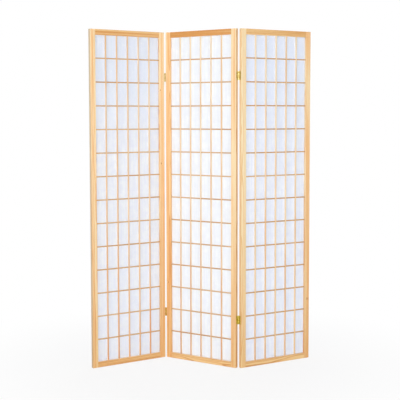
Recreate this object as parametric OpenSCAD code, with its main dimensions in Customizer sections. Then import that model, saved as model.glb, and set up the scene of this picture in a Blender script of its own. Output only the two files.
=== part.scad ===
// Three-panel folding screen: pine frames, half-lapped lattice, paper sheets and brass butt hinges.
// Millimetres. X runs along the standing screen, Y away from its front and Z up from the floor.
// The origin lies on the floor, under the middle of the standing screen's box.

/* [Panels] */
// Height of each panel
panel_h = 1784; // [900:1:2400]
// Width of each panel
panel_w = 438; // [280:1:700]
// Thickness of each panel, front to back
panel_t = 19; // [17:0.5:40]
// Width of the upright stiles
stile_w = 30; // [26:0.5:60]
// Height of the top and bottom rails
rail_w = 30; // [26:0.5:60]

/* [Stance] */
// Turn of the left panel, its left end towards the front
left_turn = 31.5; // [0:0.5:60]
// Turn of the middle panel, its right end towards the front
middle_turn = 31.5; // [0:0.5:60]
// Turn of the right panel, its left end towards the front
right_turn = 29; // [0:0.5:60]

/* [Lattice] */
// Paper fields side by side in a panel
columns = 6; // [2:1:9]
// Paper fields one above the other in a panel
rows = 14; // [2:1:20]
// Width of a lattice bar, seen from the front
bar_w = 6.5; // [4:0.1:10]
// Depth of a lattice bar, front to back
bar_d = 8; // [5:0.5:11]
// Setback of the lattice behind the front of the frame
bar_inset = 3; // [0.5:0.5:5]
// Length of a bar's tail inside the frame
tail_l = 4; // [2:0.5:4.5]
// Clearance on each side of a half-lap and of a bar's tail
lap_fit = 0.1; // [0.05:0.05:0.3]

/* [Paper] */
// Thickness of the paper sheet
paper_t = 0.4; // [0.2:0.1:1]
// Width of the frame's rebate, which the paper is glued into
rebate_w = 5; // [5:0.5:8]
// Gap between the paper's edge and the wall of the rebate
paper_gap = 0.5; // [0.2:0.1:1]

/* [Dowels] */
// Diameter of the corner dowels
dowel_d = 6; // [4:0.5:7]
// Length of the corner dowels
dowel_l = 30; // [16:1:40]
// Distance between the two dowels of a corner
dowel_pitch = 12; // [8:0.5:15]
// Clearance round a dowel
dowel_fit = 0.05; // [0.02:0.01:0.1]
// Glue space past each end of a dowel
dowel_end = 0.5; // [0.2:0.1:1]
// Chamfer on a dowel's ends
dowel_chamfer = 0.8; // [0.3:0.1:1.5]

/* [Hinges] */
// Height of a hinge
hinge_h = 45; // [35:1:90]
// Centre of the upper hinges, below the top of the screen
upper_hinge_drop = 242; // [80:1:400]
// Centre of the lower hinges, above the floor
lower_hinge_rise = 255; // [80:1:400]
// Thickness of a hinge leaf
leaf_t = 1.2; // [0.8:0.1:1.6]
// Reach of a hinge leaf over the stile's edge
leaf_reach = 15; // [14:0.5:17]
// Rounding of a leaf's outer corners
leaf_round = 1.5; // [0.5:0.5:4]
// Diameter of a hinge's barrel, which stands just proud of the frame
barrel_d = 6.4; // [5.6:0.1:9]
// Distance from the pin's axis to the stile's edge
pin_side = 2.8; // [2.5:0.1:4]
// Knuckles in a barrel, an odd number
knuckles = 5; // [3:2:7]
// Gap between two knuckles
knuckle_gap = 0.2; // [0.1:0.05:0.4]
// Clearance between a leaf and the other leaf's knuckles
knuckle_clear = 0.3; // [0.1:0.1:0.6]
// Diameter of a hinge's pin
pin_d = 3.2; // [2:0.1:4]
// Clearance round the pin in the knuckles
pin_fit = 0.08; // [0.02:0.01:0.1]
// Diameter of the caps on the pin's ends
cap_d = 5.2; // [4.4:0.1:5.6]
// Height of a pin's cap
cap_h = 1.6; // [0.8:0.1:3]

/* [Screws] */
// Screws in a hinge leaf
leaf_screws = 3; // [2:1:4]
// Distance between neighbouring screws along a leaf
screw_pitch = 14; // [8:0.5:16]
// Distance from the frame's face to the nearer screws
screw_rise = 5; // [3.5:0.5:6]
// Further distance of every other screw from the face
screw_stagger = 4.5; // [0:0.5:5]
// Length of a screw, head included
screw_l = 14; // [8:0.5:18]
// Diameter of a screw's shank
screw_d = 2.6; // [1.6:0.1:3]
// Diameter of a screw's countersunk head
head_d = 4.6; // [3.6:0.1:5.2]
// Height of a screw's countersunk head
head_h = 1; // [0.4:0.1:1.1]
// Length of a screw's point
point_l = 3; // [1:0.5:5]
// Clearance round a screw
screw_fit = 0.05; // [0.02:0.01:0.1]
// Width of a slot of the cross recess in a screw's head
recess_w = 0.6; // [0.3:0.1:0.8]
// Length of a slot of the cross recess
recess_l = 2.6; // [1.6:0.1:3.2]
// Depth of the cross recess
recess_h = 0.6; // [0.2:0.1:0.8]

/* [Hidden] */
// Smoothness of round surfaces
$fn = 48;
// How far a cut runs past the surface that it opens
past = 1;

// The panels from left to right, and the turn of each about Z
PANELS = ["left", "middle", "right"];
TURNS = [left_turn, -middle_turn, right_turn];

// The two hinges of a junction
HEIGHTS = ["upper", "lower"];
hinge_z = [panel_h - upper_hinge_drop, lower_hinge_rise];

// Both junctions: which panels meet there, the outer one first, and whether the barrel stands at the back
JUNCTIONS = ["left", "right"];
JOINED = [[0, 1], [2, 1]];
AT_BACK = [false, true];

// The lattice's lines, and the plane of its back, which carries the paper
field_w = (panel_w - 2 * stile_w - (columns - 1) * bar_w) / columns;
field_h = (panel_h - 2 * rail_w - (rows - 1) * bar_w) / rows;
upright_x = [for (i = [1 : columns - 1]) stile_w + i * (field_w + bar_w) - bar_w / 2];
cross_z = [for (i = [1 : rows - 1]) rail_w + i * (field_h + bar_w) - bar_w / 2];
ledge_y = bar_inset + bar_d;

// The dowels stand in the part of the rail that the rebate leaves whole
dowel_z = [for (side = [-1, 1]) (rail_w - rebate_w) / 2 + side * dowel_pitch / 2];
dowel_y = panel_t / 2;

// The pin stands one barrel radius in front of the face, so the barrel just touches the face's plane
barrel_r = barrel_d / 2;
pin_out = barrel_r;
knuckle_h = (hinge_h - (knuckles - 1) * knuckle_gap) / knuckles;

// A point turned about Z
function turned(p, angle) = [
  p[0] * cos(angle) - p[1] * sin(angle),
  p[0] * sin(angle) + p[1] * cos(angle)
];

// The pin axes in a panel's own frame: at the left or right edge, before or behind the panel
function pin_at(right_edge, back) = [
  right_edge ? panel_w + pin_side : -pin_side,
  back ? panel_t + pin_out : -pin_out
];

// Where each panel's own corner stands, counted from the left junction's pin
left_from_pin = -turned(pin_at(true, false), TURNS[0]);
middle_from_pin = -turned(pin_at(false, false), TURNS[1]);
right_pin = middle_from_pin + turned(pin_at(true, true), TURNS[1]);
right_from_pin = right_pin - turned(pin_at(false, true), TURNS[2]);
from_pin = [left_from_pin, middle_from_pin, right_from_pin];

// The box round the standing panels and barrels, which sets the origin
panel_corners = [for (p = [0 : len(PANELS) - 1], x = [0, panel_w], y = [0, panel_t])
  from_pin[p] + turned([x, y], TURNS[p])];
barrel_corners = [for (pin = [[0, 0], right_pin], side = [-1, 1]) pin + side * [barrel_r, barrel_r]];
corners = concat(panel_corners, barrel_corners);
box_low = [min([for (c = corners) c[0]]), min([for (c = corners) c[1]])];
box_high = [max([for (c = corners) c[0]]), max([for (c = corners) c[1]])];
origin = (box_low + box_high) / 2;

// Places a shape drawn in panel p's own frame: X along the panel, Y from its front, Z up
module in_panel(p)
  translate([from_pin[p][0] - origin[0], from_pin[p][1] - origin[1], 0])
    rotate([0, 0, TURNS[p]])
      children();

// The panel that carries one side of a junction, the middle one's side being the inner
function panel_of(junction, inner) = JOINED[junction][inner ? 1 : 0];

// Mirrors a shape along an axis, or leaves it as it is
module flipped(axis, on) {
  if (on) mirror(axis) children();
  else children();
}

// Places a shape drawn at a stile's edge: X out of the edge, Y in from the face with the barrel, Z up.
// inner is true on the middle panel's side of the junction.
module at_edge(junction, height, inner) {
  right_edge = (junction == 0) != inner;
  back = AT_BACK[junction];
  in_panel(panel_of(junction, inner))
    translate([right_edge ? panel_w : 0, back ? panel_t : 0, hinge_z[height]])
      flipped([1, 0, 0], !right_edge)
        flipped([0, 1, 0], back)
          children();
}

// The rebate in the frame's back, over the ledge that carries the paper
module rebate()
  translate([stile_w - rebate_w, ledge_y, rail_w - rebate_w])
    cube([
      panel_w - 2 * (stile_w - rebate_w),
      panel_t - ledge_y + past,
      panel_h - 2 * (rail_w - rebate_w)
    ]);

// Upright bar at x, with room added on each side
module upright_blank(x, room = 0)
  translate([x - bar_w / 2 - room, bar_inset, rail_w - tail_l - room])
    cube([bar_w + 2 * room, bar_d, panel_h - 2 * (rail_w - tail_l - room)]);

// Cross bar at z, with room added on each side
module cross_blank(z, room = 0)
  translate([stile_w - tail_l - room, bar_inset, z - bar_w / 2 - room])
    cube([panel_w - 2 * (stile_w - tail_l - room), bar_d, bar_w + 2 * room]);

// Front or back half of the lattice's depth, over the whole panel
module lattice_half(back)
  translate([0, bar_inset + (back ? bar_d / 2 : -past), 0])
    cube([panel_w, bar_d / 2 + past, panel_h]);

// The dowels of all four corners, with room added round them and past their ends
module dowel_set(room, end_room, chamfer)
  for (x = [stile_w, panel_w - stile_w], z = dowel_z, top = [false, true])
    translate([x - dowel_l / 2 - end_room, dowel_y, top ? panel_h - z : z])
      rotate([0, 90, 0])
        rounded_rod(dowel_d / 2 + room, dowel_l + 2 * end_room, chamfer);

// Rod along Z with chamfered ends
module rounded_rod(r, l, chamfer)
  rotate_extrude()
    polygon([[0, 0], [r - chamfer, 0], [r, chamfer], [r, l - chamfer], [r - chamfer, l], [0, l]]);

// Screw centres on a leaf: distance in from the barrel's face, and height
function screw_places() = [for (i = [0 : leaf_screws - 1]) [
  screw_rise + (i % 2) * screw_stagger,
  (i - (leaf_screws - 1) / 2) * screw_pitch
]];

// Solid outline of a countersunk screw, its head flush with the leaf's outer side, with room round it
module screw_blank(room)
  rotate([0, -90, 0])
    rotate_extrude()
      polygon([
        [0, 0],
        [head_d / 2 + room, 0],
        [screw_d / 2 + room, head_h],
        [screw_d / 2 + room, screw_l - point_l],
        [0, screw_l + room]
      ]);

// Screws of one leaf, or the holes for them
module screw_set(room)
  for (place = screw_places())
    translate([leaf_t, place[0], place[1]])
      screw_blank(room);

// Holes for the hinge screws in panel p
module screw_holes(p)
  for (junction = [0, 1], inner = [false, true])
    if (p == panel_of(junction, inner))
      for (height = [0, 1])
        at_edge(junction, height, inner) screw_set(screw_fit);

// Stile of panel p, notched for the cross bars and drilled for dowels and hinge screws
module stile(p, right_edge)
  color([0.94, 0.82, 0.63])
    difference() {
      in_panel(p)
        difference() {
          translate([right_edge ? panel_w - stile_w : 0, 0, 0]) cube([stile_w, panel_t, panel_h]);
          rebate();
          for (z = cross_z) cross_blank(z, lap_fit);
          dowel_set(dowel_fit, dowel_end, dowel_chamfer);
        }
      screw_holes(p);
    }

// Top or bottom rail of panel p, notched for the uprights and drilled for dowels
module rail(p, top)
  color([0.92, 0.75, 0.52])
    in_panel(p)
      difference() {
        translate([stile_w, 0, top ? panel_h - rail_w : 0]) cube([panel_w - 2 * stile_w, panel_t, rail_w]);
        rebate();
        for (x = upright_x) upright_blank(x, lap_fit);
        dowel_set(dowel_fit, dowel_end, dowel_chamfer);
      }

// Upright lattice bar i of panel p, its back half cut away where a cross bar passes behind
module upright(p, i)
  color([0.94, 0.80, 0.60])
    in_panel(p)
      difference() {
        upright_blank(upright_x[i - 1]);
        intersection() {
          lattice_half(true);
          union() for (z = cross_z) cross_blank(z, lap_fit);
        }
      }

// All cross bars of panel p, their front halves cut away where an upright passes before them
module cross_bars(p)
  color([0.86, 0.68, 0.44])
    in_panel(p)
      for (z = cross_z)
        difference() {
          cross_blank(z);
          intersection() {
            lattice_half(false);
            union() for (x = upright_x) upright_blank(x, lap_fit);
          }
        }

// Paper sheet of panel p, glued to the back of the lattice and to the frame's ledge
module paper(p)
  color([0.95, 0.96, 1.0])
    in_panel(p)
      translate([stile_w - rebate_w + paper_gap, ledge_y, rail_w - rebate_w + paper_gap])
        cube([
          panel_w - 2 * (stile_w - rebate_w + paper_gap),
          paper_t,
          panel_h - 2 * (rail_w - rebate_w + paper_gap)
        ]);

// Corner dowels of panel p
module dowels(p)
  color([0.80, 0.62, 0.40])
    in_panel(p) dowel_set(0, 0, dowel_chamfer);

// Knuckle i of a barrel, counted from below, with room added round it and over its ends
module knuckle(i, room = 0)
  translate([pin_side, -pin_out, i * (knuckle_h + knuckle_gap) - hinge_h / 2 - room])
    cylinder(r = barrel_r + room, h = knuckle_h + 2 * room);

// Flat plate of a leaf: it lies on the stile's edge and runs out to the pin's plane
module leaf_plate()
  translate([0, -pin_out, -hinge_h / 2])
    rotate([90, 0, 90])
      linear_extrude(leaf_t)
        union() {
          square([pin_out + leaf_reach - leaf_round, hinge_h]);
          translate([0, leaf_round]) square([pin_out + leaf_reach, hinge_h - 2 * leaf_round]);
          for (z = [leaf_round, hinge_h - leaf_round])
            translate([pin_out + leaf_reach - leaf_round, z]) circle(r = leaf_round);
        }

// Hinge leaf: the inner one, on the middle panel, holds the first and last knuckles and the pin
module leaf(junction, height, inner) {
  own = [for (i = [0 : knuckles - 1]) if ((i % 2 == 0) == inner) i];
  other = [for (i = [0 : knuckles - 1]) if ((i % 2 == 0) != inner) i];
  color([0.78, 0.64, 0.30])
    at_edge(junction, height, inner)
      difference() {
        union() {
          difference() {
            leaf_plate();
            for (i = other) knuckle(i, knuckle_clear);
          }
          for (i = own) knuckle(i);
        }
        translate([pin_side, -pin_out, -hinge_h / 2 - past])
          cylinder(r = pin_d / 2 + pin_fit, h = hinge_h + 2 * past);
        screw_set(screw_fit);
      }
}

// Hinge pin with a domed cap over each end of the barrel
module pin(junction, height)
  color([0.74, 0.60, 0.28])
    at_edge(junction, height, true)
      translate([pin_side, -pin_out, 0])
        union() {
          translate([0, 0, -hinge_h / 2]) cylinder(d = pin_d, h = hinge_h);
          for (below = [false, true])
            flipped([0, 0, 1], below)
              translate([0, 0, hinge_h / 2]) pin_cap();
        }

// Cap on a pin's end: a disc under a shallow dome
module pin_cap() {
  dome_h = cap_h / 2;
  dome_r = (pow(cap_d / 2, 2) + pow(dome_h, 2)) / (2 * dome_h);
  rotate_extrude()
    intersection() {
      union() {
        square([cap_d / 2, cap_h - dome_h]);
        translate([0, cap_h - dome_r]) circle(r = dome_r, $fn = 96);
      }
      square([cap_d / 2, cap_h]);
    }
}

// Screws of one leaf, each with a cross recess in its head
module screws(junction, height, inner)
  color([0.70, 0.58, 0.30])
    at_edge(junction, height, inner)
      for (place = screw_places())
        translate([leaf_t, place[0], place[1]])
          difference() {
            screw_blank(0);
            for (turn = [45, 135])
              rotate([turn, 0, 0])
                translate([-recess_h, -recess_l / 2, -recess_w / 2])
                  cube([recess_h + past, recess_l, recess_w]);
          }

for (p = [0 : len(PANELS) - 1]) {
  name = str(PANELS[p], "_panel_");
  stile(p, false);
  stile(p, true);
  rail(p, true);
  rail(p, false);
  for (i = [1 : columns - 1])
    upright(p, i);
  cross_bars(p);
  paper(p);
  dowels(p);
}
for (j = [0, 1], h = [0, 1]) {
  name = str(JUNCTIONS[j], "_", HEIGHTS[h], "_hinge_");
  leaf(j, h, false);
  leaf(j, h, true);
  pin(j, h);
  screws(j, h, false);
  screws(j, h, true);
}
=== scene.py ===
# Looks of the three-panel folding screen: pine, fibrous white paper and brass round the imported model.
# Metres, in the model's own frame: X along the standing screen, Y away from its front, Z up.
import math
import random

import bmesh
import bpy
import numpy as np
from mathutils import Matrix, Vector


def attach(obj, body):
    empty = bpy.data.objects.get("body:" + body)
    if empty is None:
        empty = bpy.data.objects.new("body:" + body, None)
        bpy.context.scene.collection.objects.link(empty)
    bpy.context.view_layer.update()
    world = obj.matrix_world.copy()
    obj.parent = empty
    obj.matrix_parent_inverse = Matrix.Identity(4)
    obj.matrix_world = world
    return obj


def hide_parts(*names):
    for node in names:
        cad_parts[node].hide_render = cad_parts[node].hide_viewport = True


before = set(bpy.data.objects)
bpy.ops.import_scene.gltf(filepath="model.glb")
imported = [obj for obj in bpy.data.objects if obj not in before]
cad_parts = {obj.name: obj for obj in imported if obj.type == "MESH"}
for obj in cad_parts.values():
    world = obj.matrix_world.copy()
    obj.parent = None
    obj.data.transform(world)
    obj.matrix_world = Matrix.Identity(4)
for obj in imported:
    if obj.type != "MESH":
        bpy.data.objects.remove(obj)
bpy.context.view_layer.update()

MM = 0.001
WHITE = (1, 1, 1, 1)
PANELS = ("left", "middle", "right")
JUNCTIONS = ("left", "right")
HEIGHTS = ("upper", "lower")
UPRIGHTS = 5

# The camera, fitted to the edges of the frames in the photograph. Its angles are in degrees, and its lens
# and sensor in millimetres.
CAMERA_PLACE = (-0.0062, -4.789, 1.3287)
CAMERA_YAW = 0.0535
CAMERA_PITCH = 4.034
CAMERA_ROLL = -0.11
CAMERA_LENS = 80.68
CAMERA_SENSOR = 36
CAMERA_SHIFT_Y = -0.05
CAMERA_CLIP = (0.05, 100)

# Rounding of the sanded edges, and the number of flat steps in each
FRAME_ROUNDING = 0.8 * MM
FRAME_STEPS = 3
BAR_ROUNDING = 0.35 * MM
BAR_STEPS = 2
# A point this near a plane lies on it, points this near are one, and faces within this angle are flat
ON_PLANE = 0.02 * MM
SAME_POINT = 0.001 * MM
FLAT_ANGLE = 0.5
# Heights are told apart by this many decimals of a metre
HEIGHT_DECIMALS = 5

# The paper sheet: its thickness, its slack between the bars, and its faces across and up each field
PAPER_THICKNESS = 0.25 * MM
PAPER_SLACK = 0.28 * MM
PAPER_STEPS_ACROSS = 8
PAPER_STEPS_UP = 12
# The share of the slack that a field has, and how far its deepest place leans to a side
SLACK_SHARES = (0.35, 1.0)
SLACK_LEAN = 0.3

# How far the patterns of a stick, of each cross bar and of the other pieces are shifted at random
STICK_SHIFT = 5
BAR_SHIFT = 9
PIECE_SHIFT = 9
# How many seeds there are for a panel's cross bars to start from
BAR_SEEDS = 1000


def srgb(red, green, blue):
    """A colour given as it shows on a screen, from 0 to 255, as the renderer's linear one."""
    linear = [((c / 255 + 0.055) / 1.055) ** 2.4 if c > 10 else c / 255 / 12.92 for c in (red, green, blue)]
    return (*linear, 1.0)


def random_shift(draw, reach):
    """A shift of a pattern along three axes, so that no two pieces look the same."""
    return tuple(draw.uniform(-reach, reach) for _ in range(3))


def points_of(node):
    """A CAD node's vertices, one row each."""
    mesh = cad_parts[node].data
    points = np.empty(len(mesh.vertices) * 3, np.float32)
    mesh.vertices.foreach_get("co", points)
    return points.reshape(-1, 3).astype(float)


class Panel:
    """A panel's own frame, from its front bottom left corner: X along it, Y in from its front, Z up."""

    def __init__(self, name):
        self.name = name
        self.body = f"{name}_panel"
        paper = points_of(self.node("paper"))[:, :2]
        along = np.linalg.svd(paper - paper.mean(0))[2][0]
        along *= np.sign(along[0])
        self.turn = math.atan2(along[1], along[0])
        self.matrix = Matrix.Rotation(self.turn, 4, "Z")
        corner = self.matrix @ Vector((*self.box("left_stile")[0][:2], 0))
        self.matrix = Matrix.Translation(corner) @ self.matrix
        self.size = self.box("right_stile")[1]
        self.stile = self.box("left_stile")[1][0]
        self.rail = self.box("bottom_rail")[1][2]
        uprights = (self.box(f"upright_{i}") for i in range(1, UPRIGHTS + 1))
        self.upright_x = [(low[0] + high[0]) / 2 for low, high in uprights]
        # The lower and the upper edge of each cross bar, from the lowest bar up
        edges = np.unique(self.local("cross_bars")[:, 2].round(HEIGHT_DECIMALS))
        self.cross_z = list((edges[0::2] + edges[1::2]) / 2)
        self.bar = edges[1] - edges[0]

    def node(self, piece):
        """The name of one of the panel's CAD nodes."""
        return f"{self.name}_panel_{piece}"

    def cad(self, piece):
        """The object of one of the panel's CAD nodes."""
        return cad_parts[self.node(piece)]

    def local(self, piece):
        """The points of one of the panel's CAD nodes, in the panel's frame."""
        inverse = np.array(self.matrix.inverted())
        return points_of(self.node(piece)) @ inverse[:3, :3].T + inverse[:3, 3]

    def box(self, piece):
        """The lowest and the highest corner of one of the panel's CAD nodes, in the panel's frame."""
        points = self.local(piece)
        return points.min(0), points.max(0)


class Shader:
    """The nodes of one material or world, made with short calls."""

    def __init__(self, owner):
        self.owner = owner
        owner.use_nodes = True
        self.tree = owner.node_tree
        self.tree.nodes.clear()

    def node(self, kind, inputs, **settings):
        """One node, with each input set to a value or linked to another node's output."""
        made = self.tree.nodes.new("ShaderNode" + kind)
        for key, value in settings.items():
            setattr(made, key, value)
        for key, value in inputs.items():
            if isinstance(value, bpy.types.NodeSocket):
                self.tree.links.new(value, made.inputs[key])
            else:
                made.inputs[key].default_value = value
        return made

    def math(self, operation, *values):
        return self.node("Math", dict(enumerate(values)), operation=operation).outputs[0]

    def vector(self, operation, *values):
        made = self.node("VectorMath", dict(enumerate(values)), operation=operation)
        return made.outputs["Value" if operation == "LENGTH" else "Vector"]

    def stretch(self, place, factors, shift):
        """A place multiplied by a factor for each axis, and then moved."""
        return self.vector("ADD", self.vector("MULTIPLY", place, factors), shift)

    def combine(self, x, y, z):
        return self.node("CombineXYZ", {0: x, 1: y, 2: z}).outputs[0]

    def separate(self, vector):
        return self.node("SeparateXYZ", {"Vector": vector}).outputs[:]

    def coordinate(self, kind):
        return self.node("TexCoord", {}).outputs[kind]

    def noise(self, vector, scale=1.0, detail=2.0, roughness=0.5, distortion=0.0):
        inputs = {"Vector": vector, "Scale": scale, "Detail": detail, "Roughness": roughness}
        return self.node("TexNoise", {**inputs, "Distortion": distortion}).outputs[0]

    def random(self, value):
        """Three random numbers that belong to a whole number, as a vector."""
        return self.node("TexWhiteNoise", {"W": value}, noise_dimensions="1D").outputs["Color"]

    def remap(self, value, low, high, to_low=0.0, to_high=1.0, smooth=True):
        inputs = {"Value": value, "From Min": low, "From Max": high, "To Min": to_low, "To Max": to_high}
        kind = "SMOOTHSTEP" if smooth else "LINEAR"
        return self.node("MapRange", inputs, interpolation_type=kind).outputs["Result"]

    def mix(self, share, first, second, blend="MIX"):
        made = self.node("Mix", {0: share, 6: first, 7: second}, data_type="RGBA", blend_type=blend)
        return made.outputs[2]

    def ramp(self, value, stops, ease="LINEAR"):
        made = self.node("ValToRGB", {"Fac": value})
        made.color_ramp.interpolation = ease
        elements = made.color_ramp.elements
        while len(elements) < len(stops):
            elements.new(0.5)
        for element, (position, colour) in zip(elements, stops):
            element.position = position
            element.color = colour
        return made.outputs["Color"]

    def bump(self, height, strength, distance):
        inputs = {"Height": height, "Strength": strength, "Distance": distance}
        return self.node("Bump", inputs).outputs["Normal"]

    def principled(self, **inputs):
        """Ends the material in one Principled shader, whose sockets are named with underscores."""
        named = {key.replace("_", " "): value for key, value in inputs.items()}
        shader = self.node("BsdfPrincipled", named)
        self.node("OutputMaterial", {"Surface": shader.outputs[0]})
        return self.owner

    def panel_axes(self, panel):
        """The place in a panel's own frame, as three values."""
        place = self.coordinate("Object")
        inputs = {"Vector": place, "Location": panel.matrix.translation, "Rotation": (0, 0, panel.turn)}
        return self.separate(self.node("Mapping", inputs, vector_type="TEXTURE").outputs[0])


def new_shader(name):
    """The shader of a new material."""
    return Shader(bpy.data.materials.new(name))


# Pale early wood, middle tone and late wood of the sapwood and the heartwood of each kind of pine stick
PINE_TONES = {
    "stile": {
        "sap": (srgb(255, 234, 190), srgb(252, 221, 168), srgb(239, 193, 132)),
        "heart": (srgb(251, 205, 146), srgb(245, 187, 122), srgb(226, 155, 90)),
    },
    "rail": {
        "sap": (srgb(244, 205, 143), srgb(236, 187, 121), srgb(216, 155, 89)),
        "heart": (srgb(226, 161, 87), srgb(214, 145, 67), srgb(186, 115, 46)),
    },
    "upright": {
        "sap": (srgb(254, 236, 206), srgb(250, 224, 188), srgb(236, 198, 154)),
        "heart": (srgb(246, 204, 154), srgb(237, 186, 134), srgb(214, 154, 100)),
    },
    "cross": {
        "sap": (srgb(222, 188, 147), srgb(207, 167, 123), srgb(178, 136, 92)),
        "heart": (srgb(205, 159, 111), srgb(191, 141, 91), srgb(158, 110, 66)),
    },
    "dowel": {
        "sap": (srgb(226, 190, 142), srgb(212, 172, 122), srgb(184, 140, 92)),
        "heart": (srgb(214, 172, 118), srgb(200, 152, 98), srgb(168, 118, 70)),
    },
}
# Where in a growth ring each of the three tones lies
RING_STOPS = ((0.0, 0), (0.42, 0), (0.66, 1), (0.9, 2), (1.0, 0))
# The kinds of stick whose grain runs along the panel instead of up it
LYING_KINDS = ("rail", "cross", "dowel")

# Share of heartwood at the left and the right edge of a stile, or end of a rail or of the cross bars
HEARTWOOD = {
    "left_panel_left_stile": (0.15, 0.6),
    "left_panel_right_stile": (0.65, 0.7),
    "middle_panel_left_stile": (1.0, 1.55),
    "middle_panel_right_stile": (0.5, 0.1),
    "right_panel_left_stile": (-0.95, -0.5),
    "right_panel_right_stile": (0.6, 1.3),
    "left_panel_top_rail": (0.5, 0.6),
    "middle_panel_top_rail": (1.9, 1.3),
    "right_panel_top_rail": (0.4, 0.6),
    "left_panel_bottom_rail": (0.5, 0.5),
    "middle_panel_bottom_rail": (0.1, -0.1),
    "right_panel_bottom_rail": (-0.25, -0.1),
    "left_panel_cross_bars": (0.35, 0.45),
    "middle_panel_cross_bars": (0.4, 0.5),
    "right_panel_cross_bars": (0.9, 1.05),
}
DOWEL_HEARTWOOD = (0.3, 0.45)
# Share of heartwood in the uprights of each panel, from left to right
UPRIGHT_HEARTWOOD = {
    "left": (0.55, 0.45, 0.5, 0.2, 0.5),
    "middle": (0.65, 0.6, 0.5, 0.35, 1.0),
    "right": (-0.15, 0.45, 0.0, 0.2, -0.15),
}
# How far broad streaks change the share of heartwood, how far it drifts along the stick, and how strong
# the narrow pale streaks are
STREAKS = {
    "stile": (1.2, 0.25, 0.7),
    "rail": (0.8, 0.25, 0.35),
    "upright": (0.8, 0.7, 0.35),
    "cross": (0.8, 0.25, 0.35),
    "dowel": (0.8, 0.25, 0.35),
}

# How finely the patterns of the wood repeat, per metre across, into and along the grain
WARP_STRETCH = (60, 60, 4)
BROAD_STRETCH = (120, 60, 1.1)
DRIFT_STRETCH = (9, 9, 3.4)
NARROW_STRETCH = (200, 200, 1.8)
FIBRE_STRETCH = (1500, 1500, 28)
FLECK_STRETCH = (2600, 2600, 170)
# The values of a noise between which nearly all of it lies, and those between which a pattern sets in
NOISE_SPAN = (0.3, 0.7)
PALE_STREAK_SPAN = (0.52, 0.7)
DARK_STREAK_SPAN = (0.46, 0.3)
FLECK_SPAN = (0.77, 0.83)
DARK_STREAK_STRENGTH = 0.6
FIBRE_STOPS = ((0.3, (0.88, 0.85, 0.8, 1)), (0.6, WHITE))
FIBRE_STRENGTH = 0.5
FLECK_STRENGTH = 0.45
FLECK_TONE = srgb(176, 118, 66)

# The pith beside a stick: how far off it lies across and into the wood, how far it wanders each way, and its
# bends per metre. The wander into the wood takes its noise from another place, and is a little finer.
PITH_ACROSS = (-0.02, 0.02)
PITH_DEPTH = (0.02, 0.045)
PITH_WANDER_ACROSS = 0.03
PITH_WANDER_DEPTH = 0.02
PITH_BENDS = 1.6
LEAN_SHIFT = (7, 3, 1)
LEAN_SCALE = 1.3
# Width of the growth rings, and by how much of a ring they waver
RING_WIDTH = (0.0032, 0.0048)
RING_WARP = 0.7

# Knots of the stiles: place along the panel, height and radius
KNOTS = {
    "left_panel_right_stile": [(0.419, 1.075, 0.0026), (0.414, 1.473, 0.002)],
    "middle_panel_left_stile": [(0.012, 0.42, 0.002)],
    "right_panel_right_stile": [(0.425, 0.33, 0.0032)],
}
# How a knot is drawn out along the grain, how many radii off it still bends the rings, and by how many rings
KNOT_STRETCH = (1, 0, 0.55)
KNOT_REACH = 5.0
KNOT_BEND = 2.6
# A knot's core: the radii between which it fades, its stripes for each ring, and their tones
KNOT_CORE = (0.5, 1.8)
KNOT_STRIPES = 1.7
KNOT_TONES = (srgb(176, 108, 56), srgb(208, 142, 80))
KNOT_STRENGTH = 0.85

# Tone of the sawn ends, and how far a face has to point up or down to be one
SAWN_TONE = (0.8, 0.74, 0.66, 1)
SAWN_SLOPES = (0.6, 0.9)
SAWN_STRENGTH = 0.8
# Tone of the stiles and of each panel's uprights at the floor, and from this height up: the wood is darker
# towards the floor. Each panel's own tone for its uprights from this height up is painted shade.
FLOOR_TONE_HEIGHT = 1.1
STILE_FLOOR_TONES = ((0.87, 0.72, 0.53, 1), WHITE)
UPRIGHT_FLOOR_TONES_AND_SHADE = {
    "left": ((0.85, 0.54, 0.31, 1), (0.89, 0.86, 0.86, 1)),
    "middle": ((0.82, 0.6, 0.44, 1), (0.95, 0.97, 0.98, 1)),
    "right": ((0.92, 0.71, 0.43, 1), (1, 0.98, 0.92, 1)),
}
# Painted shade on the outer side faces of the stiles, in each panel's own tone
PAINTED_SIDE_SHADE = {"left": (0.75, 0.78, 0.87, 1), "middle": (0.81, 0.71, 0.61, 1), "right": (1, 0.97, 0.94, 1)}
# Painted light: a pale tone on the narrow faces of bars and rails, which stands in for the light falling on
# them
PAINTED_LIGHT_KINDS = ("upright", "cross", "rail")
PAINTED_LIGHT_TONE = srgb(254, 238, 212)
PAINTED_LIGHT_STRENGTH = 0.7
# Relief of the fibres and of the late wood, the part of a ring in which that sets in, and roughness
FIBRE_RELIEF = 0.6
LATE_RELIEF = 0.5
LATE_WOOD = (0.5, 0.9)
PINE_ROUGHNESS = (0.36, 0.5)


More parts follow.
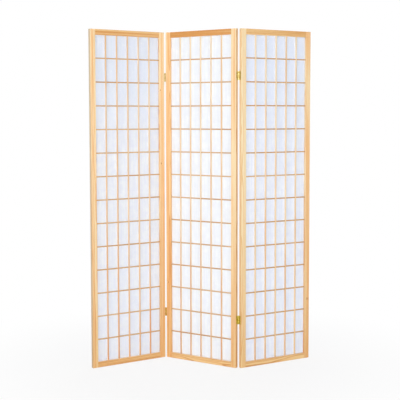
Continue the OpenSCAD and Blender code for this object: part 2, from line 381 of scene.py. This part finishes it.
class Stick:
    """One pine stick's shader, and the places in it that all parts of its looks share."""

    def __init__(self, panel, piece, kind):
        self.panel = panel
        self.kind = kind
        self.name = panel.node(piece)
        self.low, self.high = panel.box(piece)
        self.draw = random.Random(self.name)
        self.shader = new_shader(f"pine_{self.name}")
        self.x, y, self.z = self.shader.panel_axes(panel)
        axes = (self.z, y, self.x) if kind in LYING_KINDS else (self.x, y, self.z)
        self.place = self.shader.combine(*axes)
        self.shift = self.shader.combine(*random_shift(self.draw, STICK_SHIFT))
        self.middle_x = (self.low[0] + self.high[0]) / 2
        self.middle_z = (self.low[2] + self.high[2]) / 2
        if kind == "cross":
            self.tell_bars_apart()

    def tell_bars_apart(self):
        """Gives each cross bar its own middle height, and its own shift of the grain."""
        s = self.shader
        first, second = self.panel.cross_z[:2]
        bar = s.math("ROUND", s.math("DIVIDE", s.math("SUBTRACT", self.z, first), second - first))
        self.middle_z = s.math("MULTIPLY_ADD", bar, second - first, first)
        own = s.random(s.math("ADD", bar, self.draw.randrange(BAR_SEEDS)))
        self.shift = s.vector("MULTIPLY_ADD", own, (BAR_SHIFT, BAR_SHIFT, BAR_SHIFT), self.shift)

    def noise(self, factors, **settings):
        """Noise that runs along the stick's grain."""
        return self.shader.noise(self.shader.stretch(self.place, factors, self.shift), **settings)

    def growth_rings(self):
        """How many growth rings a place lies out from a wandering pith beside the stick."""
        s = self.shader
        across, depth, along = s.separate(self.place)
        pith_across = self.draw.uniform(*PITH_ACROSS) + self.panel.stile / 2 + PITH_WANDER_ACROSS / 2
        pith_depth = self.draw.choice((-1, 1)) * self.draw.uniform(*PITH_DEPTH) + PITH_WANDER_DEPTH / 2
        bend = s.combine(0.0, 0.0, s.math("MULTIPLY", along, PITH_BENDS))
        wander = s.noise(s.vector("ADD", bend, self.shift))
        lean_place = s.vector("ADD", bend, s.vector("ADD", self.shift, LEAN_SHIFT))
        lean = s.noise(lean_place, scale=LEAN_SCALE, detail=1.0)
        off_across = s.math("SUBTRACT", across, pith_across)
        off_across = s.math("MULTIPLY_ADD", wander, PITH_WANDER_ACROSS, off_across)
        off_depth = s.math("SUBTRACT", depth, pith_depth)
        off_depth = s.math("MULTIPLY_ADD", lean, PITH_WANDER_DEPTH, off_depth)
        radius = s.vector("LENGTH", s.combine(off_across, off_depth, 0.0))
        rings = s.math("DIVIDE", radius, self.draw.uniform(*RING_WIDTH))
        return s.math("MULTIPLY_ADD", self.noise(WARP_STRETCH), RING_WARP, rings)

    def bend_round_knots(self, rings):
        """The rings bent round the stick's knots, and the share of knot core."""
        s = self.shader
        cores = 0.0
        for across, along, radius in KNOTS[self.name]:
            gap = s.vector("SUBTRACT", self.place, (across, 0, along))
            gap = s.vector("LENGTH", s.vector("MULTIPLY", gap, KNOT_STRETCH))
            away = s.math("DIVIDE", gap, radius)
            rings = s.math("ADD", rings, s.remap(away, 0.0, KNOT_REACH, KNOT_BEND, 0.0))
            cores = s.math("MAXIMUM", cores, s.remap(away, *KNOT_CORE, 1.0, 0.0))
        return rings, cores

    def ringed_wood(self, phase, heartwood):
        """Sapwood to heartwood, in broad streaks that drift along the stick."""
        s = self.shader
        streak, drift, _ = STREAKS[self.kind]
        heart = s.remap(self.x, self.low[0], self.high[0], *heartwood, smooth=False)
        broad = s.remap(self.noise(BROAD_STRETCH), *NOISE_SPAN, -streak, streak, smooth=False)
        slow = s.remap(self.noise(DRIFT_STRETCH, detail=1.0), *NOISE_SPAN, -drift, drift, smooth=False)
        heart = s.math("ADD", s.math("ADD", heart, broad), slow)
        tones = PINE_TONES[self.kind]
        sap, core = (
            s.ramp(phase, [(at, tones[part][tone]) for at, tone in RING_STOPS], "EASE")
            for part in ("sap", "heart")
        )
        return s.mix(heart, sap, core)

    def with_streaks(self, colour):
        """Narrow streaks of pale sapwood and of middling heartwood."""
        s = self.shader
        tones = PINE_TONES[self.kind]
        narrow = self.noise(NARROW_STRETCH, detail=3.0)
        pale = s.remap(narrow, *PALE_STREAK_SPAN, 0.0, STREAKS[self.kind][2])
        dark = s.remap(narrow, *DARK_STREAK_SPAN, 0.0, DARK_STREAK_STRENGTH)
        colour = s.mix(pale, colour, tones["sap"][0])
        return s.mix(dark, colour, tones["heart"][1])

    def with_fibres(self, colour, fibre):
        """Fine fibres and short resin flecks."""
        s = self.shader
        colour = s.mix(FIBRE_STRENGTH, colour, s.ramp(fibre, FIBRE_STOPS), "MULTIPLY")
        fleck = s.remap(self.noise(FLECK_STRETCH, detail=0.0), *FLECK_SPAN, 0.0, FLECK_STRENGTH)
        return s.mix(fleck, colour, FLECK_TONE)

    def with_knots(self, colour, rings, cores):
        """Striped cores in the middle of the knots."""
        s = self.shader
        stripes = s.math("FRACT", s.math("MULTIPLY", rings, KNOT_STRIPES))
        eye = s.mix(stripes, *KNOT_TONES)
        return s.mix(s.math("MULTIPLY", cores, KNOT_STRENGTH), colour, eye)

    def with_sawn_ends_floor_tone_and_shade(self, colour):
        """Wood that is darker towards the floor, painted shade in each panel's tone for its uprights, and
        darker sawn ends.
        """
        s = self.shader
        normal_z = s.separate(s.coordinate("Normal"))[2]
        sawn = s.remap(s.math("ABSOLUTE", normal_z), *SAWN_SLOPES, 0.0, SAWN_STRENGTH)
        colour = s.mix(sawn, colour, SAWN_TONE, "MULTIPLY")
        at_floor, above = UPRIGHT_FLOOR_TONES_AND_SHADE[self.panel.name] if self.kind == "upright" else STILE_FLOOR_TONES
        height_tone = s.mix(s.remap(self.z, 0.0, FLOOR_TONE_HEIGHT, smooth=False), at_floor, above)
        return s.mix(1.0, colour, height_tone, "MULTIPLY")

    def with_painted_side_shade(self, colour):
        """Painted shade on the outer side faces, in the panel's own tone."""
        s = self.shader
        middle = self.panel.size[0] / 2
        outward = s.math("ABSOLUTE", s.math("SUBTRACT", self.x, middle))
        side = s.remap(outward, middle - FRAME_ROUNDING, middle)
        return s.mix(side, colour, PAINTED_SIDE_SHADE[self.panel.name], "MULTIPLY")

    def with_painted_light_faces(self, colour):
        """Painted light: pale narrow faces, told by how far they are from the stick's middle."""
        s = self.shader
        if self.kind == "upright":
            off = s.math("SUBTRACT", self.x, self.middle_x)
        else:
            off = s.math("SUBTRACT", self.z, self.middle_z)
        half = (self.panel.rail if self.kind == "rail" else self.panel.bar) / 2
        side = s.remap(s.math("ABSOLUTE", off), half - BAR_ROUNDING, half, 0.0, PAINTED_LIGHT_STRENGTH)
        return s.mix(side, colour, PAINTED_LIGHT_TONE)


def pine(panel, piece, kind, heartwood):
    """Lacquered pine with growth rings, streaks of sapwood and heartwood, fibres, flecks and knots."""
    stick = Stick(panel, piece, kind)
    s = stick.shader
    rings = stick.growth_rings()
    knotty = stick.name in KNOTS
    if knotty:
        rings, cores = stick.bend_round_knots(rings)
    phase = s.math("FRACT", rings)
    fibre = stick.noise(FIBRE_STRETCH, roughness=0.6)
    colour = stick.with_streaks(stick.ringed_wood(phase, heartwood))
    colour = stick.with_fibres(colour, fibre)
    if knotty:
        colour = stick.with_knots(colour, rings, cores)
    # Darker towards the floor, with painted shade in each panel's tone for its uprights
    if kind not in LYING_KINDS:
        colour = stick.with_sawn_ends_floor_tone_and_shade(colour)
    # Painted shade on the stiles' outer side faces
    if kind == "stile":
        colour = stick.with_painted_side_shade(colour)
    # Painted light on the narrow faces of bars and rails
    if kind in PAINTED_LIGHT_KINDS:
        colour = stick.with_painted_light_faces(colour)
    late = s.remap(phase, *LATE_WOOD, 0.0, LATE_RELIEF)
    relief = s.math("MULTIPLY_ADD", fibre, FIBRE_RELIEF, late)
    return s.principled(
        Base_Color=colour,
        Roughness=s.remap(fibre, *NOISE_SPAN, *PINE_ROUGHNESS, smooth=False),
        Coat_Weight=0.12,
        Coat_Roughness=0.3,
        Normal=s.bump(relief, strength=0.3, distance=0.1 * MM),
    )


# Darker and lighter tone of each panel's paper, and the tone of its long fibres. The differences between the
# panels' tones are painted light and shade.
PAPER_TONES_WITH_PAINTED_LIGHT = {
    "left": (srgb(221, 226, 253), srgb(242, 246, 255)),
    "middle": (srgb(228, 233, 246), srgb(243, 248, 253)),
    "right": (srgb(214, 220, 250), srgb(235, 240, 255)),
}
STRAND_TONE = srgb(250, 251, 254)
# Painted shade: how much dimmer and bluer the paper grows towards its foot and its top, and the heights
# between which it does
PAPER_PAINTED_SHADE = {"left": (0.22, 0.67), "middle": (0.0, 0.0), "right": (0.1, 0.65)}
FOOT_SHADE_HEIGHTS = (0.7, 0.35)
TOP_SHADE_HEIGHTS = (1.05, 1.55)
PAPER_SHADE_TONE = srgb(204, 215, 247)
# Number per metre of the paper's clouds, bits of pulp, patches of strands and strands
CLOUD_SCALE = 26
PULP_SCALE = 900
PATCH_SCALE = 55
STRAND_SCALE = 130
# How the strands are drawn out upwards, and the number per metre of the streaks across and upwards
STRAND_STRETCH = (1, 1, 0.4)
STREAK_STRETCH = (130, 1, 6)
# The values of the noises between which each pattern sets in, and how strong it grows
CLOUD_SPAN = (0.25, 0.75)
CLOUD_SHARES = (0.2, 0.8)
STREAK_SPAN = (0.4, 0.62)
STREAK_STRENGTH = 0.6
PULP_SPAN = (0.35, 0.65)
PULP_STRENGTH = 0.2
PATCH_SPAN = (0.5, 0.62)
STRAND_STRENGTH = 0.6
# How curly the strands are, and how far off its middle value their noise is at their edges
STRAND_CURL = 1.2
STRAND_WIDTH = 0.018
# Relief of the strands and of the pulp beside that of the streaks, and roughness
STRAND_RELIEF = 0.7
PULP_RELIEF = 0.4
PAPER_ROUGHNESS = (0.72, 0.86)


def painted_paper_shade(s, panel, z):
    """The share of the painted shade, which grows towards the paper's foot and its top."""
    foot_shade, top_shade = PAPER_PAINTED_SHADE[panel.name]
    foot = s.remap(z, *FOOT_SHADE_HEIGHTS, 0.0, foot_shade)
    top = s.remap(z, *TOP_SHADE_HEIGHTS, 0.0, top_shade)
    return s.math("ADD", foot, top)


def paper_strands(s, place):
    """Long curly fibres, in patches: they run where a noise passes through its middle value."""
    stretched = s.vector("MULTIPLY", place, STRAND_STRETCH)
    paths = s.noise(stretched, scale=STRAND_SCALE, detail=1.0, distortion=STRAND_CURL)
    off = s.math("ABSOLUTE", s.math("SUBTRACT", paths, 0.5))
    patches = s.remap(s.noise(place, scale=PATCH_SCALE, detail=1.0), *PATCH_SPAN)
    return s.math("MULTIPLY", s.remap(off, 0.0, STRAND_WIDTH, 1.0, 0.0), patches)


def fibrous_paper(panel):
    """White paper of long fibres, a little blue, through which light passes. Its tone in each panel holds
    painted light and shade.
    """
    draw = random.Random(f"paper {panel.name}")
    s = new_shader(f"paper_{panel.name}")
    dark, light = PAPER_TONES_WITH_PAINTED_LIGHT[panel.name]
    x, _, z = s.panel_axes(panel)
    place = s.vector("ADD", s.combine(x, 0.0, z), random_shift(draw, PIECE_SHIFT))
    cloud = s.noise(place, scale=CLOUD_SCALE, detail=4.0, roughness=0.6)
    streak = s.noise(s.vector("MULTIPLY", place, STREAK_STRETCH), detail=3.0, roughness=0.6)
    strand = paper_strands(s, place)
    pulp = s.noise(place, scale=PULP_SCALE)
    colour = s.mix(s.remap(cloud, *CLOUD_SPAN, *CLOUD_SHARES), dark, light)
    # Painted shade towards the paper's foot and top
    colour = s.mix(painted_paper_shade(s, panel, z), colour, PAPER_SHADE_TONE)
    colour = s.mix(s.remap(streak, *STREAK_SPAN, 0.0, STREAK_STRENGTH), colour, dark)
    colour = s.mix(s.math("MULTIPLY", strand, STRAND_STRENGTH), colour, STRAND_TONE)
    colour = s.mix(s.remap(pulp, *PULP_SPAN, 0.0, PULP_STRENGTH), colour, dark)
    relief = s.math("MULTIPLY_ADD", pulp, PULP_RELIEF, streak)
    relief = s.math("MULTIPLY_ADD", strand, STRAND_RELIEF, relief)
    return s.principled(
        Base_Color=colour,
        Roughness=s.remap(cloud, *NOISE_SPAN, *PAPER_ROUGHNESS, smooth=False),
        Specular_IOR_Level=0.3,
        Subsurface_Weight=1.0,
        Subsurface_Radius=(1.0, 0.98, 0.9),
        Subsurface_Scale=1.2 * MM,
        Normal=s.bump(relief, strength=0.35, distance=0.08 * MM),
    )


# Bright and tarnished tone of each hinge's brass, and the bright one of all the screws. The differences
# between the hinges' tones are painted light and shade.
BRASS_TONES_WITH_PAINTED_LIGHT = {
    "left_upper_hinge": (srgb(208, 195, 148), srgb(167, 147, 94)),
    "left_lower_hinge": (srgb(222, 188, 110), srgb(194, 157, 74)),
    "right_upper_hinge": (srgb(220, 206, 154), srgb(182, 160, 100)),
    "right_lower_hinge": (srgb(222, 208, 118), srgb(194, 174, 80)),
}
SCREW_TONE = srgb(228, 210, 146)
# How finely the brush marks repeat, per metre, and how they shade the brass
BRUSH_STRETCH = (2500, 2500, 60)
BRUSH_STOPS = ((0.3, (0.8, 0.8, 0.78, 1)), (0.65, WHITE))
BRUSH_STRENGTH = 0.35
# Number per metre of the spots of tarnish, and the values of the noise between which they set in
TARNISH_SCALE = 160
TARNISH_SPAN = (0.42, 0.6)
BRASS_ROUGHNESS = (0.3, 0.46)


def brass(name, seed, pale, dark):
    """Brushed brass with a little olive tarnish."""
    draw = random.Random(seed)
    s = new_shader(name)
    place = s.coordinate("Object")
    shift = random_shift(draw, PIECE_SHIFT)
    brushed = s.noise(s.stretch(place, BRUSH_STRETCH, shift))
    tarnish = s.noise(s.vector("ADD", place, shift), scale=TARNISH_SCALE, detail=4.0, roughness=0.62)
    colour = s.mix(s.remap(tarnish, *TARNISH_SPAN), pale, dark)
    return s.principled(
        Base_Color=s.mix(BRUSH_STRENGTH, colour, s.ramp(brushed, BRUSH_STOPS), "MULTIPLY"),
        Metallic=1.0,
        Roughness=s.remap(tarnish, 0.35, 0.65, *BRASS_ROUGHNESS, smooth=False),
        Normal=s.bump(brushed, strength=0.25, distance=0.05 * MM),
    )


def give(piece, material):
    """One material over the whole piece."""
    piece.data.materials.clear()
    piece.data.materials.append(material)


def edges_on_planes(panel, piece, planes):
    """How many of the planes, given for each axis of the panel, each edge of a CAD node lies on."""
    points = panel.local(piece)
    mesh = panel.cad(piece).data
    ends = np.empty(len(mesh.edges) * 2, np.int32)
    mesh.edges.foreach_get("vertices", ends)
    ends = ends.reshape(-1, 2)
    count = np.zeros(len(ends), int)
    for axis, places in enumerate(planes):
        for place in places:
            near = np.abs(points[:, axis] - place) < ON_PLANE
            count += near[ends].all(1)
    return count


def round_edges(panel, piece, planes, width, steps):
    """Rounds a CAD node's edges that lie on two of its outer planes, given for each axis of the panel."""
    cad = panel.cad(piece)
    mesh = cad.data
    weight = mesh.attributes.new("bevel_weight_edge", "FLOAT", "EDGE")
    weight.data.foreach_set("value", (edges_on_planes(panel, piece, planes) >= 2).astype(np.float32))
    mesh.attributes.remove(mesh.attributes["custom_normal"])
    mesh.polygons.foreach_set("use_smooth", np.zeros(len(mesh.polygons), bool))
    weld = cad.modifiers.new("weld", "WELD")
    weld.merge_threshold = SAME_POINT
    flat = cad.modifiers.new("flat faces", "DECIMATE")
    flat.decimate_type = "DISSOLVE"
    flat.angle_limit = math.radians(FLAT_ANGLE)
    rounded = cad.modifiers.new("rounded edges", "BEVEL")
    rounded.limit_method = "WEIGHT"
    rounded.use_clamp_overlap = False
    rounded.width = width
    rounded.segments = steps


def dress_frame(panel):
    """Pine for a panel's stiles and rails, with rounded edges."""
    width, thickness, height = panel.size
    for piece, low, high in (("left_stile", 0, panel.stile), ("right_stile", width - panel.stile, width)):
        round_edges(panel, piece, ((low, high), (0, thickness), (0, height)), FRAME_ROUNDING, FRAME_STEPS)
        give(panel.cad(piece), pine(panel, piece, "stile", HEARTWOOD[panel.node(piece)]))
    for piece, low, high in (("bottom_rail", 0, panel.rail), ("top_rail", height - panel.rail, height)):
        round_edges(panel, piece, ((), (0, thickness), (low, high)), FRAME_ROUNDING, FRAME_STEPS)
        give(panel.cad(piece), pine(panel, piece, "rail", HEARTWOOD[panel.node(piece)]))


def dress_lattice(panel):
    """Pine for a panel's uprights and cross bars, with rounded edges."""
    half = panel.bar / 2
    low, high = panel.box("cross_bars")
    faces = (low[1], high[1])
    for i, (x, heart) in enumerate(zip(panel.upright_x, UPRIGHT_HEARTWOOD[panel.name]), 1):
        piece = f"upright_{i}"
        round_edges(panel, piece, ((x - half, x + half), faces, ()), BAR_ROUNDING, BAR_STEPS)
        give(panel.cad(piece), pine(panel, piece, "upright", (heart, heart)))
    edges = [z + side * half for z in panel.cross_z for side in (-1, 1)]
    round_edges(panel, "cross_bars", ((), faces, edges), BAR_ROUNDING, BAR_STEPS)
    heartwood = HEARTWOOD[panel.node("cross_bars")]
    give(panel.cad("cross_bars"), pine(panel, "cross_bars", "cross", heartwood))


def spread(lines, steps):
    """Places between neighbouring lines, each with its field's number and its share of the way across."""
    places = []
    for field, (start, end) in enumerate(zip(lines, lines[1:])):
        for step in range(steps):
            places.append((start + (end - start) * step / steps, field, step / steps))
    places.append((lines[-1], len(lines) - 2, 1.0))
    return places


def slack_sheet(name, columns, rows, front, draw):
    """A sheet's mesh, which lies at front on all the lines and is slack in the fields between them."""
    slack = {
        (column, row): (
            draw.uniform(*SLACK_SHARES),
            draw.uniform(-SLACK_LEAN, SLACK_LEAN),
            draw.uniform(-SLACK_LEAN, SLACK_LEAN),
        )
        for column in range(len(columns) - 1)
        for row in range(len(rows) - 1)
    }
    made = bmesh.new()
    grid = []
    for z, row, up in spread(rows, PAPER_STEPS_UP):
        line = []
        for x, column, across in spread(columns, PAPER_STEPS_ACROSS):
            share, side, tilt = slack[column, row]
            swell = math.sin(math.pi * across) * math.sin(math.pi * up)
            ripple = 1 + side * math.cos(math.pi * across) + tilt * math.cos(math.pi * up)
            line.append(made.verts.new((x, front + PAPER_SLACK * share * swell * ripple, z)))
        grid.append(line)
    for below, above in zip(grid, grid[1:]):
        for corners in zip(below, below[1:], above[1:], above):
            made.faces.new(corners).smooth = True
    mesh = bpy.data.meshes.new(name)
    made.to_mesh(mesh)
    made.free()
    return mesh


def make_sheet(panel):
    """The paper sheet: it lies flat on the bars and the frame, and is slack by a hair between them."""
    low, high = panel.box("paper")
    columns = [low[0], *panel.upright_x, high[0]]
    rows = [low[2], *panel.cross_z, high[2]]
    draw = random.Random(f"sheet {panel.name}")
    mesh = slack_sheet(panel.node("paper_sheet"), columns, rows, low[1], draw)
    mesh.transform(panel.matrix)
    sheet = bpy.data.objects.new(mesh.name, mesh)
    bpy.context.scene.collection.objects.link(sheet)
    solid = sheet.modifiers.new("thickness", "SOLIDIFY")
    solid.thickness = PAPER_THICKNESS
    solid.offset = -1
    give(sheet, fibrous_paper(panel))
    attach(sheet, panel.body)
    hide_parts(panel.node("paper"))
    carriers = ("cross_bars", "left_stile", "right_stile", "top_rail", "bottom_rail")
    rests = [panel.node(piece) for piece in carriers]


def dress_panel(panel):
    """All of a panel: its frame, lattice, dowels and paper."""
    dress_frame(panel)
    dress_lattice(panel)
    give(panel.cad("dowels"), pine(panel, "dowels", "dowel", DOWEL_HEARTWOOD))
    make_sheet(panel)


def dress_hinges():
    """Brass for the leaves and pins, and paler brass for the screws."""
    for junction in JUNCTIONS:
        for height in HEIGHTS:
            hinge = f"{junction}_{height}_hinge"
            # Each hinge's tones hold painted light and shade
            pale, dark = BRASS_TONES_WITH_PAINTED_LIGHT[hinge]
            leaf = brass(f"brass_{hinge}", hinge, pale, dark)
            screw = brass(f"brass_{hinge}_screws", hinge + " screws", SCREW_TONE, dark)
            for part in ("outer_leaf", "inner_leaf", "pin"):
                give(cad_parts[f"{hinge}_{part}"], leaf)
            for part in ("outer_screws", "inner_screws"):
                give(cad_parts[f"{hinge}_{part}"], screw)


def make_camera():
    """The camera of the photograph."""
    camera = bpy.data.objects.new("camera", bpy.data.cameras.new("camera"))
    bpy.context.scene.collection.objects.link(camera)
    camera.data.sensor_width = CAMERA_SENSOR
    camera.data.lens = CAMERA_LENS
    camera.data.shift_y = CAMERA_SHIFT_Y
    camera.data.clip_start, camera.data.clip_end = CAMERA_CLIP
    turn = Matrix.Rotation(math.radians(CAMERA_YAW), 4, "Z")
    tilt = Matrix.Rotation(math.radians(90 - CAMERA_PITCH), 4, "X")
    roll = Matrix.Rotation(math.radians(CAMERA_ROLL), 4, "Z")
    camera.matrix_world = Matrix.Translation(CAMERA_PLACE) @ turn @ tilt @ roll
    bpy.context.scene.camera = camera


# Strength of the even light from all sides
AMBIENT = 0.36
# Soft square lamps: place, the point that each is turned towards, size, power in watts and colour
LAMPS = {
    "key": ((-3.2, -6.8, 1.5), (0, 0, 0.9), 3.6, 245, (0.99, 0.99, 1.0)),
    "fill": ((3.2, -6.6, 1.1), (0, 0, 0.9), 3.6, 182, (0.89, 0.92, 1.0)),
    "rear": ((2.2, 8.3, 1.2), (0, 0, 0.9), 4.4, 368, (0.865, 0.92, 1.0)),
    "overhead": ((0.0, 0.8, 6.0), (0, 0.79, 0), 4.0, 110, (1.0, 1.0, 1.0)),
}

# The floor, a round sheet: its radius, corners and tones, and how white it is seen at two distances from the
# middle of the object
FLOOR_RADIUS = 30
FLOOR_CORNERS = 96
FLOOR_TONES = (srgb(236, 236, 236), srgb(242, 242, 242))
FLOOR_GRAIN_SCALE = 40
FLOOR_DISTANCES = (0.5, 1.6)
FLOOR_WHITENESS = (0.84, 1.0)


def make_lamp(name, place, aim, size, power, colour):
    """A soft square lamp at a place, turned towards a point."""
    lamp = bpy.data.objects.new(name, bpy.data.lights.new(name, "AREA"))
    bpy.context.scene.collection.objects.link(lamp)
    lamp.data.shape = "SQUARE"
    lamp.data.size = size
    lamp.data.energy = power
    lamp.data.color = colour
    lamp.location = place
    lamp.visible_camera = False
    lamp.rotation_euler = (Vector(aim) - Vector(place)).to_track_quat("-Z", "Y").to_euler()


def seen_directly(s):
    """1 for rays from the camera, and for mirrored and refracted ones."""
    path = s.node("LightPath", {}).outputs
    mirrored = s.math("MAXIMUM", path["Is Glossy Ray"], path["Is Transmission Ray"])
    return s.math("MAXIMUM", path["Is Camera Ray"], mirrored)


def make_world():
    """White where it is seen, and a dimmer even light on the object."""
    world = bpy.data.worlds.new("studio")
    bpy.context.scene.world = world
    s = Shader(world)
    strength = s.remap(seen_directly(s), 0.0, 1.0, AMBIENT, 1.0, smooth=False)
    light = s.node("Background", {"Color": WHITE, "Strength": strength})
    s.node("OutputWorld", {"Surface": light.outputs[0]})


def make_floor():
    """A pale floor that keeps a faint shadow near the object and is white where it is seen further off."""
    mesh = bpy.data.meshes.new("floor")
    made = bmesh.new()
    bmesh.ops.create_circle(made, cap_ends=True, segments=FLOOR_CORNERS, radius=FLOOR_RADIUS)
    made.to_mesh(mesh)
    made.free()
    floor = bpy.data.objects.new("floor", mesh)
    bpy.context.scene.collection.objects.link(floor)
    s = new_shader("floor")
    place = s.coordinate("Object")
    grain = s.noise(place, scale=FLOOR_GRAIN_SCALE, detail=3.0)
    pale = s.node("BsdfDiffuse", {"Color": s.mix(grain, *FLOOR_TONES)})
    white = s.node("Emission", {"Color": WHITE, "Strength": 1.0})
    away = s.remap(s.vector("LENGTH", place), *FLOOR_DISTANCES, *FLOOR_WHITENESS)
    share = s.math("MULTIPLY", seen_directly(s), away)
    mixed = s.node("MixShader", {0: share, 1: pale.outputs[0], 2: white.outputs[0]})
    s.node("OutputMaterial", {"Surface": mixed.outputs[0]})
    give(floor, s.owner)


make_camera()
for name in PANELS:
    dress_panel(Panel(name))
dress_hinges()
make_floor()
make_world()
for name, settings in LAMPS.items():
    make_lamp(name, *settings)
bpy.context.scene.view_settings.view_transform = "Standard"
